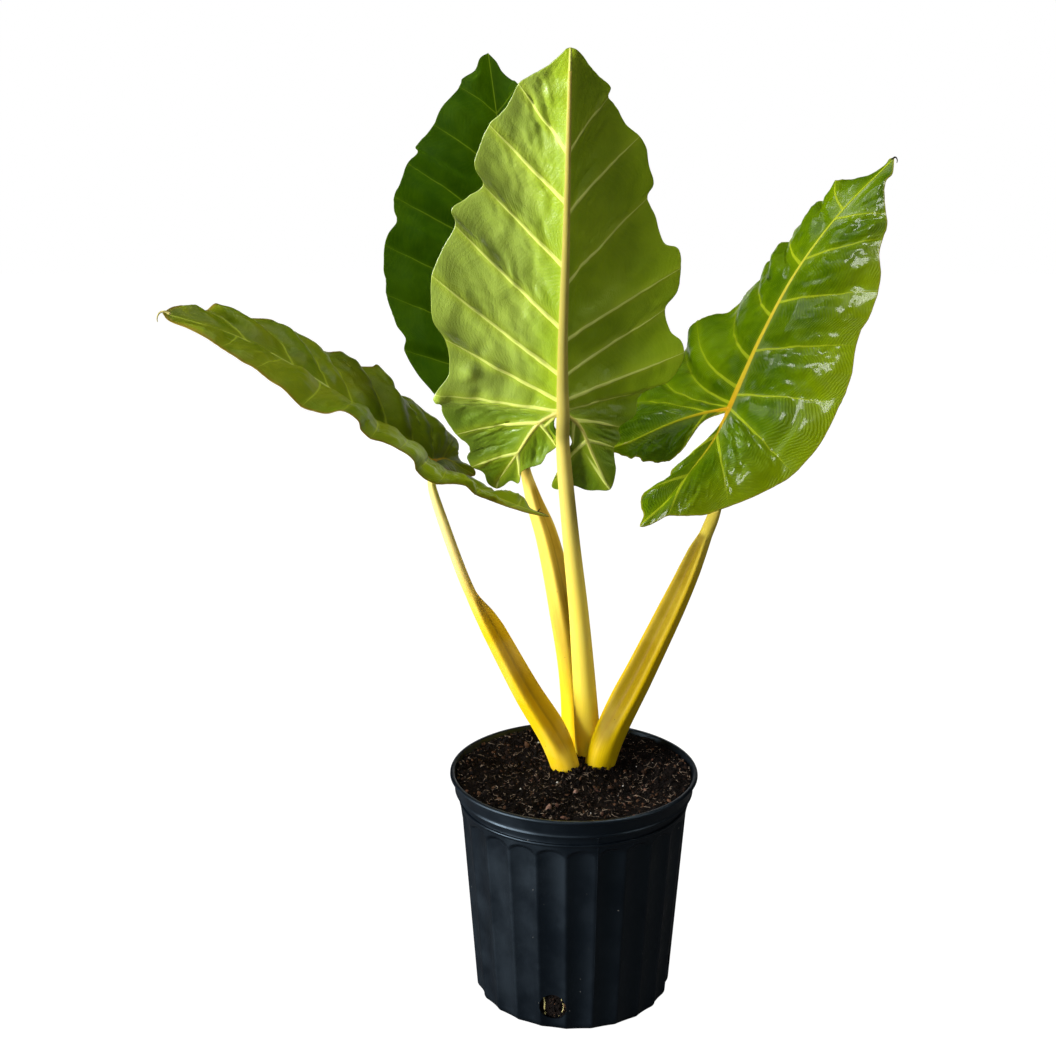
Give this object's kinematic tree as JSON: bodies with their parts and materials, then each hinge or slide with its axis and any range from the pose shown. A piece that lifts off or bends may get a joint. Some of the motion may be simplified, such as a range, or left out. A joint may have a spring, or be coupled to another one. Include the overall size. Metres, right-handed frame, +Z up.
{
  "type": "potted giant taro plant",
  "caption": "Upright tropical foliage plant with large arrow-shaped leaves on long yellow stalks, growing in a fluted black nursery pot filled with soil.",
  "frame": {"origin": "centre of the pot's underside, on the floor it stands on", "axes": "+Z up, the way the plant grows; -Y towards the front, where the upright leaf shows its underside; +X to the right seen from the front"},
  "size_m": [0.7323, 0.4339, 0.9562],
  "materials": {
    "pot": "semi-matte blow-moulded black plastic",
    "soil": "moist peat and bark mix with perlite",
    "rootstock": "rough pale brown",
    "stalk": "smooth waxy yellow",
    "blade_front": "satin underside, yellow-green, pale veins",
    "blade_back": "glossy dark green, pale veins",
    "blade_left": "glossy olive green",
    "blade_right": "glossy mid green, golden veins"
  },
  "bodies": {
    "root": {"pot": "pot", "soil": "soil", "rootstock": "rootstock", "stalk_front": "stalk", "blade_front": "blade_front", "stalk_back": "stalk", "blade_back": "blade_back", "stalk_left": "stalk", "blade_left": "blade_left", "stalk_right": "stalk", "blade_right": "blade_right"}
  },
  "joints": []
}
